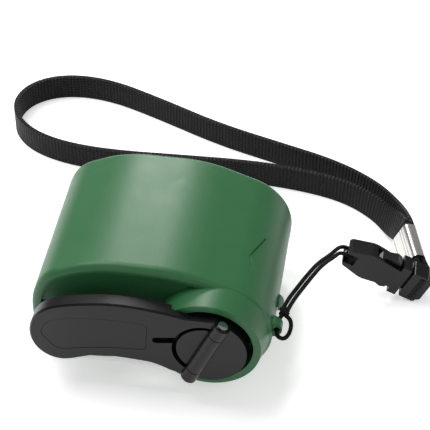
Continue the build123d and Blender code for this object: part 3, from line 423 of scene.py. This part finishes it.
@dataclass
class Strap:
    """The buckle's short webbing loop and the long wrist loop, and the directions at the buckle."""

    tilt: float = math.radians(24.0)
    lean: float = math.radians(19.4)
    buckle_end: Place = (54.3, 35.1, -13.0)
    buckle_length: float = 24.1
    buckle_middle: float = 2.7
    bar_inset: float = 1.1
    leg_spread: float = 0.8
    crimp_lead: float = 6.45
    crimp_length: float = 11.45
    wrist_lap: float = 5.6
    buckle_lap: float = 5.0
    straight_run: float = 2.5
    settle: tuple[float, ...] = (0.7, 0.4, 0.15)
    ground: float = (WEB_WIDTH / 2 - CRANK_CENTRE[2]) / MM
    wrist_points: tuple[tuple[float, float], ...] = (
        (43.6, 63.0), (39.3, 68.3), (31.0, 74.0), (20.5, 77.3), (3.3, 79.5), (-18.7, 79.0), (-43.7, 77.9),
        (-60.7, 80.0), (-72.7, 86.0), (-78.7, 96.0), (-76.2, 107.0), (-65.7, 113.5), (-50.7, 113.0),
        (-32.7, 105.5), (-12.7, 96.0), (7.3, 89.5), (25.3, 83.5), (38.0, 75.5), (45.0, 67.0),
    )
    bar_points: tuple[tuple[float, float], ...] = ((2.6, 1.5), (0.6, 2.2), (-1.9, 2.0))
    bar_reach: float = 2.2
    along: Vector = field(init=False)
    wide: Vector = field(init=False)
    out: Vector = field(init=False)
    through: Vector = field(init=False)
    bar: Vector = field(init=False)

    def __post_init__(self) -> None:
        """Work out the buckle's directions and the middle of its bar."""
        self.along = Vector((math.cos(self.tilt), 0, -math.sin(self.tilt)))
        self.wide = Vector((math.sin(self.tilt), 0, math.cos(self.tilt)))
        self.out = self.along * -math.sin(self.lean) + Vector((0, math.cos(self.lean), 0))
        self.through = self.wide.cross(self.out)
        self.bar = self.inside_buckle(-self.bar_inset)

    def inside_buckle(self, distance: float) -> Vector:
        """Return the point in the middle of the buckle's thickness, some millimetres along from its end."""
        middle = Vector((0, self.buckle_middle, 0))
        return spot(*self.buckle_end) + (self.along * distance + middle) * MM

    def place_at(self, distance: float) -> Matrix:
        """Return a place on the strap, with x along it, y through it and z across it.

        Args:
            distance: Millimetres from the buckle's bar.

        Returns:
            The place, as a matrix.
        """
        place = Matrix((self.out, self.through, self.wide)).transposed().to_4x4()
        place.translation = self.bar + self.out * distance * MM
        return place

    def _tilt_at(self, heading: Vector) -> float:
        """Return the turn about a heading that lays the section's width along the buckle's bar.

        Args:
            heading: The direction in which the route runs.

        Returns:
            The turn, in radians.
        """
        ahead = heading.normalized()
        upright = (Vector((0, 0, 1)) - ahead * ahead.z).normalized()
        return math.atan2(upright.cross(self.wide).dot(ahead), upright.dot(self.wide))

    def wrist_loop(self, material: bpy.types.Material) -> None:
        """Build the wrist loop, from the crimp round and back into it.

        Args:
            material: The woven material.
        """
        crimp_end = self.crimp_lead + self.crimp_length
        stations = (self.crimp_lead + self.wrist_lap, crimp_end, crimp_end + self.straight_run)
        ends = []
        for spread in (self.leg_spread, -self.leg_spread):
            ends.append([self.bar + (self.out * station + self.through * spread) * MM for station in stations])
        ground = [spot(x, depth, self.ground) for x, depth in self.wrist_points]
        route = ends[0] + ground + ends[1][::-1]
        first, last = self._tilt_at(self.out), self._tilt_at(-self.out)
        level = [0.0] * (len(ground) - 2 * len(self.settle))
        tilts = [first] * len(stations) + [first * part for part in self.settle]
        tilts += level + [last * part for part in self.settle[::-1]] + [last] * len(stations)
        loop = Webbing("wrist_strap", route, tilts)
        piece = loop.build(material)
        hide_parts("wrist_webbing")
        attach(piece, "case")
        logger.info("wrist loop %.1f mm long", loop.length / MM)

    def buckle_loop(self, material: bpy.types.Material) -> None:
        """Build the short webbing loop that goes round the buckle's bar and into the crimp.

        Args:
            material: The woven material.
        """
        leg = [(self.crimp_lead + self.buckle_lap, self.leg_spread), (self.crimp_lead, self.leg_spread)]
        half = leg + list(self.bar_points)
        flat = half + [(-self.bar_reach, 0.0)] + [(x, -y) for x, y in half[::-1]]
        loop = Webbing("buckle_strap", [Vector((x, y, 0)) * MM for x, y in flat], step=0.25 * MM)
        piece = loop.build(material)
        piece.matrix_world = self.place_at(0)
        finish_mesh(piece, loop.smooth)
        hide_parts("buckle_webbing")
        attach(piece, "case")
        logger.info("buckle loop built")


@dataclass
class Cord:
    """The thin doubled lanyard cord, the loop through the case's lug and the knot between them."""

    radius: float = 0.575
    strand_gap: float = 0.1
    strand_side: Place = (0.93, -0.37, 0)
    strand_points: tuple[Place, ...] = (
        (19.7, 9.8, 3.2), (21.8, 15.0, 3.2), (23.9, 20.4, 3.0), (26.2, 26.4, 2.0), (28.9, 32.6, -0.6),
    )
    tail_bar_radius: float = 0.7
    tail_clearance: float = 0.12
    tail_lead: float = 2.4
    lug_start: Place = (0.55, -0.75, -0.6)
    lug_points: tuple[Place, ...] = (
        (20.6, 4.4, 1.9), (20.9, 3.0, -0.9), (19.6, 1.0, -2.6), (17.35, 0.5, -1.25),
        (17.15, 3.4, -0.95), (17.35, 6.6, -0.65), (18.3, 5.9, 1.8),
    )
    knot: Place = (18.6, 5.6, 3.0)
    knot_ring: float = 0.72
    knot_swing: float = 0.34
    knot_rise: float = 0.62
    knot_turns: int = 2
    knot_steps: int = 24
    knot_weave: float = 1.5
    knot_slim: float = 0.98
    knot_smooth: float = 60.0

    def _lay(
        self, name: str, points: list[Vector], node: str, material: bpy.types.Material
    ) -> bpy.types.Object:
        """Lay one cord along its route.

        Args:
            name: The cord's name.
            points: Its route, in metres.
            node: The solid that it stands for.
            material: The braided material.

        Returns:
            The cord's curve.
        """
        cord = route_curve(name, points)
        cord.data.bevel_depth = self.radius * MM
        cord.data.bevel_resolution = 4
        cord.data.use_fill_caps = True
        dress(cord, material)
        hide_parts(node)
        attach(cord, "case")
        logger.info("%s %.1f mm long", name, cord.data.splines[0].calc_length() / MM)
        return cord

    def _doubled_route(self, strap: Strap) -> list[Vector]:
        """Return the route from the knot, round the bar in the buckle's tail and back.

        Args:
            strap: The strap, which knows where the buckle is.

        Returns:
            The route's points, in metres.
        """
        centre = spot(*self.knot)
        reach = self.tail_bar_radius + self.radius + self.tail_clearance
        side = Vector(self.strand_side) * (self.radius + self.strand_gap) * MM
        strand = [spot(*place) for place in self.strand_points]
        tail = strap.inside_buckle(self.tail_bar_radius - strap.buckle_length)
        near = tail - strap.along * self.tail_lead * MM
        far = tail + strap.along * reach * MM
        turn = Vector((0, reach * MM, 0))
        there = [centre + side] + [point + side for point in strand]
        back = [point - side for point in strand[::-1]] + [centre - side]
        return there + [near - turn, far - turn, far + turn, near + turn] + back

    def build(self, strap: Strap, material: bpy.types.Material) -> None:
        """Build the cord, its lug loop and the knot.

        Args:
            strap: The strap, which knows where the buckle is.
            material: The braided material.
        """
        points = self._doubled_route(strap)
        cord = self._lay("cord", points, "lanyard_cord", material)
        centre = spot(*self.knot)
        lug = [centre + Vector(self.lug_start) * MM] + [spot(*place) for place in self.lug_points]
        self._lay("lug_cord", lug, "lug_loop", material)
        self._tie(centre, material)

    def _tie(self, centre: Vector, material: bpy.types.Material) -> None:
        """Build the small overhand knot from turns of the same cord.

        Args:
            centre: The knot's centre, in metres.
            material: The braided material.
        """
        points = []
        for index in range(self.knot_steps + 1):
            angle = index * math.tau * self.knot_turns / self.knot_steps
            ring = self.knot_ring + self.knot_swing * math.cos(self.knot_weave * angle)
            rise = self.knot_rise * math.sin(self.knot_weave * angle)
            points.append(centre + Vector((ring * math.cos(angle), rise, ring * math.sin(angle))) * MM)
        knot = route_curve("knot", points)
        knot.data.bevel_depth = self.radius * self.knot_slim * MM
        knot.data.bevel_resolution = 4
        dress(knot, material)
        select_only(knot)
        bpy.ops.object.convert(target="MESH")
        knot = bpy.context.object
        finish_mesh(knot, self.knot_smooth)
        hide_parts("cord_knot")
        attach(knot, "case")
        logger.info("knot tied")


@dataclass
class Crimp:
    """The bright folded metal clamp that holds the strap's ends."""

    width: float = 9.3
    half: float = 2.1
    round_edge: float = 1.5
    round_steps: int = 6
    sheet: float = 0.4
    seam: float = 0.22
    seams: tuple[float, ...] = (-2.6, 0.9, 2.0)
    smooth: float = 35.0

    def build(self, strap: Strap, material: bpy.types.Material) -> None:
        """Build the clamp in place round the strap.

        Args:
            strap: The strap, which knows the clamp's length, place and directions.
            material: The bright metal.
        """
        deselect_all()
        bpy.ops.mesh.primitive_cube_add(size=1, location=(0, 0, 0))
        clamp = bpy.context.object
        clamp.name = "crimp"
        bpy.ops.object.mode_set(mode="EDIT")
        bpy.ops.mesh.select_all(action="SELECT")
        bpy.ops.transform.resize(value=(strap.crimp_length * MM, 2 * self.half * MM, self.width * MM))
        bpy.ops.mesh.select_mode(type="FACE")
        self._select(clamp, lambda face: abs(face.normal.x) > SQUARE_ON)
        bpy.ops.mesh.delete(type="ONLY_FACE")
        bpy.ops.mesh.select_mode(type="EDGE")
        self._select_long_edges(clamp)
        bpy.ops.mesh.bevel(offset=self.round_edge * MM, segments=self.round_steps, affect="EDGES")
        bpy.ops.mesh.select_mode(type="FACE")
        for seam in self.seams:
            for side in (-0.5, 0.5):
                bpy.ops.mesh.select_all(action="SELECT")
                bpy.ops.mesh.bisect(plane_co=(0, 0, (seam + side * self.seam) * MM), plane_no=(0, 0, 1))
        self._select(clamp, self._is_seam)
        bpy.ops.mesh.extrude_region_move()
        bpy.ops.transform.resize(value=(1, 1 - self.seam / self.half, 1), center_override=(0, 0, 0))
        bpy.ops.object.mode_set(mode="OBJECT")
        wall = clamp.modifiers.new("sheet", "SOLIDIFY")
        wall.thickness = self.sheet * MM
        wall.offset = -1.0
        apply_modifiers(clamp)
        clamp.matrix_world = strap.place_at(strap.crimp_lead + strap.crimp_length / 2)
        finish_mesh(clamp, self.smooth)
        dress(clamp, material)
        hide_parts("strap_crimp")
        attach(clamp, "case")
        logger.info("crimp built")

    def _is_seam(self, face: bpy.types.MeshPolygon) -> bool:
        """Tell whether a face is one of the pressed lines on the broad sides."""
        in_line = any(abs(face.center.z / MM - seam) < self.seam / 2 for seam in self.seams)
        return in_line and abs(face.normal.y) > SQUARE_ON

    @staticmethod
    def _select(piece: bpy.types.Object, wanted: Callable[[bpy.types.MeshPolygon], bool]) -> None:
        """Select the faces that pass a test, and stay in edit mode.

        Args:
            piece: The mesh object, in edit mode.
            wanted: The test, by a face's place or normal.
        """
        bpy.ops.mesh.select_all(action="DESELECT")
        bpy.ops.object.mode_set(mode="OBJECT")
        for face in piece.data.polygons:
            face.select = wanted(face)
        bpy.ops.object.mode_set(mode="EDIT")

    @staticmethod
    def _select_long_edges(piece: bpy.types.Object) -> None:
        """Select the edges that run along the piece's x, and stay in edit mode.

        Args:
            piece: The mesh object, in edit mode.
        """
        bpy.ops.mesh.select_all(action="DESELECT")
        bpy.ops.object.mode_set(mode="OBJECT")
        points = piece.data.vertices
        for edge in piece.data.edges:
            start, stop = (points[index].co for index in edge.vertices)
            edge.select = abs((stop - start).x) > (stop - start).length * SQUARE_ON
        bpy.ops.object.mode_set(mode="EDIT")


# ------------------------------------------------------------------ case and hard pieces
@dataclass
class HardPieces:
    """Everything moulded, turned or stamped, shown as its solid with its own finish."""

    materials: dict[str, bpy.types.Material]

    def build(self) -> None:
        """Give each solid the material of its slot."""
        slots = {entry["node"]: entry["material_slot"] for entry in frame["record"]["subparts"]}
        for name, piece in frame["nodes"].items():
            dress(piece, self.materials[slots[name]])
        logger.info("%d solids dressed", len(slots))


# ------------------------------------------------------------------ studio
@dataclass(frozen=True)
class Lamp:
    """A soft square lamp that looks at the case."""

    name: str
    place: Place
    size: float
    power: float
    target: Place = (0, 0, 0.01)

    def build(self) -> None:
        """Add the lamp to the studio."""
        deselect_all()
        bpy.ops.object.light_add(type="AREA", location=self.place)
        lamp = bpy.context.object
        lamp.name = self.name
        lamp.data.size = self.size
        lamp.data.energy = self.power
        aim = Vector(self.target) - Vector(self.place)
        lamp.rotation_euler = aim.to_track_quat("-Z", "Y").to_euler()


@dataclass
class Studio:
    """Plain pale floor, soft lamps and the camera."""

    camera_place: Place = (0.05919, -0.29505, 0.31084)
    camera_turn: Place = (47.9, 0.0, 8.84)
    lens: float = 129.5
    sensor: float = 36.0
    floor_size: float = 6.0
    floor_drop: float = 0.2
    floor_colour: str = "#FAFAFA"
    floor_lift: float = 0.45
    world_light: float = 0.3
    lamps: tuple[Lamp, ...] = (
        Lamp("key", (-0.25, 0.12, 0.55), 0.35, 2.4),
        Lamp("fill", (0.45, -0.25, 0.45), 0.5, 0.7),
        Lamp("front", (-0.1, -0.6, 0.25), 0.4, 0.3),
        Lamp("rim", (-0.1, 0.5, 0.35), 0.12, 1.6),
    )

    def _floor_white(self) -> bpy.types.Material:
        """Return a white that stays white to the camera and keeps the object's shadow.

        Returns:
            The floor's material.
        """
        material = bpy.data.materials.new("floor_white")
        material.use_nodes = True
        tree = material.node_tree
        shader = tree.nodes["Principled BSDF"]
        shader.inputs["Base Color"].default_value = hex_to_linear(self.floor_colour)
        shader.inputs["Roughness"].default_value = 0.9
        shader.inputs["Specular IOR Level"].default_value = 0.0
        rays = add_node(tree, "ShaderNodeLightPath")
        seen = add_node(tree, "ShaderNodeMath", operation="MAXIMUM")
        tree.links.new(rays.outputs["Is Camera Ray"], seen.inputs[0])
        tree.links.new(rays.outputs["Is Glossy Ray"], seen.inputs[1])
        level = add_node(tree, "ShaderNodeMath", operation="MULTIPLY")
        level.inputs[1].default_value = self.floor_lift
        tree.links.new(seen.outputs["Value"], level.inputs[0])
        shader.inputs["Emission Color"].default_value = (1, 1, 1, 1)
        tree.links.new(level.outputs["Value"], shader.inputs["Emission Strength"])
        return material

    def _world(self) -> None:
        """Set an even pale world, plain white where the camera sees it."""
        world = bpy.data.worlds.new("studio")
        bpy.context.scene.world = world
        world.use_nodes = True
        tree = world.node_tree
        tree.nodes.clear()
        output = add_node(tree, "ShaderNodeOutputWorld")
        lit = add_node(tree, "ShaderNodeBackground", Color=(1, 1, 1, 1), Strength=self.world_light)
        seen = add_node(tree, "ShaderNodeBackground", Color=(1, 1, 1, 1), Strength=1.0)
        rays = add_node(tree, "ShaderNodeLightPath")
        mix = add_node(tree, "ShaderNodeMixShader")
        tree.links.new(rays.outputs["Is Camera Ray"], mix.inputs["Fac"])
        tree.links.new(lit.outputs["Background"], mix.inputs[1])
        tree.links.new(seen.outputs["Background"], mix.inputs[2])
        tree.links.new(mix.outputs["Shader"], output.inputs["Surface"])

    def build(self) -> None:
        """Build the floor, the world, the lamps and the camera."""
        deselect_all()
        bpy.ops.mesh.primitive_plane_add(size=self.floor_size, location=(0, 0, -self.floor_drop * MM))
        floor = bpy.context.object
        floor.name = "floor"
        dress(floor, self._floor_white())
        self._world()
        for lamp in self.lamps:
            lamp.build()
        deselect_all()
        turn = [math.radians(angle) for angle in self.camera_turn]
        bpy.ops.object.camera_add(location=self.camera_place, rotation=turn)
        camera = bpy.context.object
        camera.data.lens = self.lens
        camera.data.sensor_width = self.sensor
        camera.data.clip_start = 0.01
        bpy.context.scene.camera = camera
        bpy.context.scene.view_settings.view_transform = "Standard"
        logger.info("studio built")


def main() -> None:
    """Build the charger's looks and the studio in order."""
    logging.basicConfig(level=logging.INFO, format="%(message)s")
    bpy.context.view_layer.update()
    materials = {surface.name: surface.build() for surface in SURFACES}
    HardPieces(materials).build()
    strap = Strap()
    strap.wrist_loop(materials["black_webbing"])
    strap.buckle_loop(materials["black_webbing"])
    Crimp().build(strap, materials["bright_nickel"])
    Cord().build(strap, materials["black_cord"])
    Studio().build()
    bpy.context.view_layer.update()
    logger.info("sizes written")


if __name__ == "__main__":
    main()
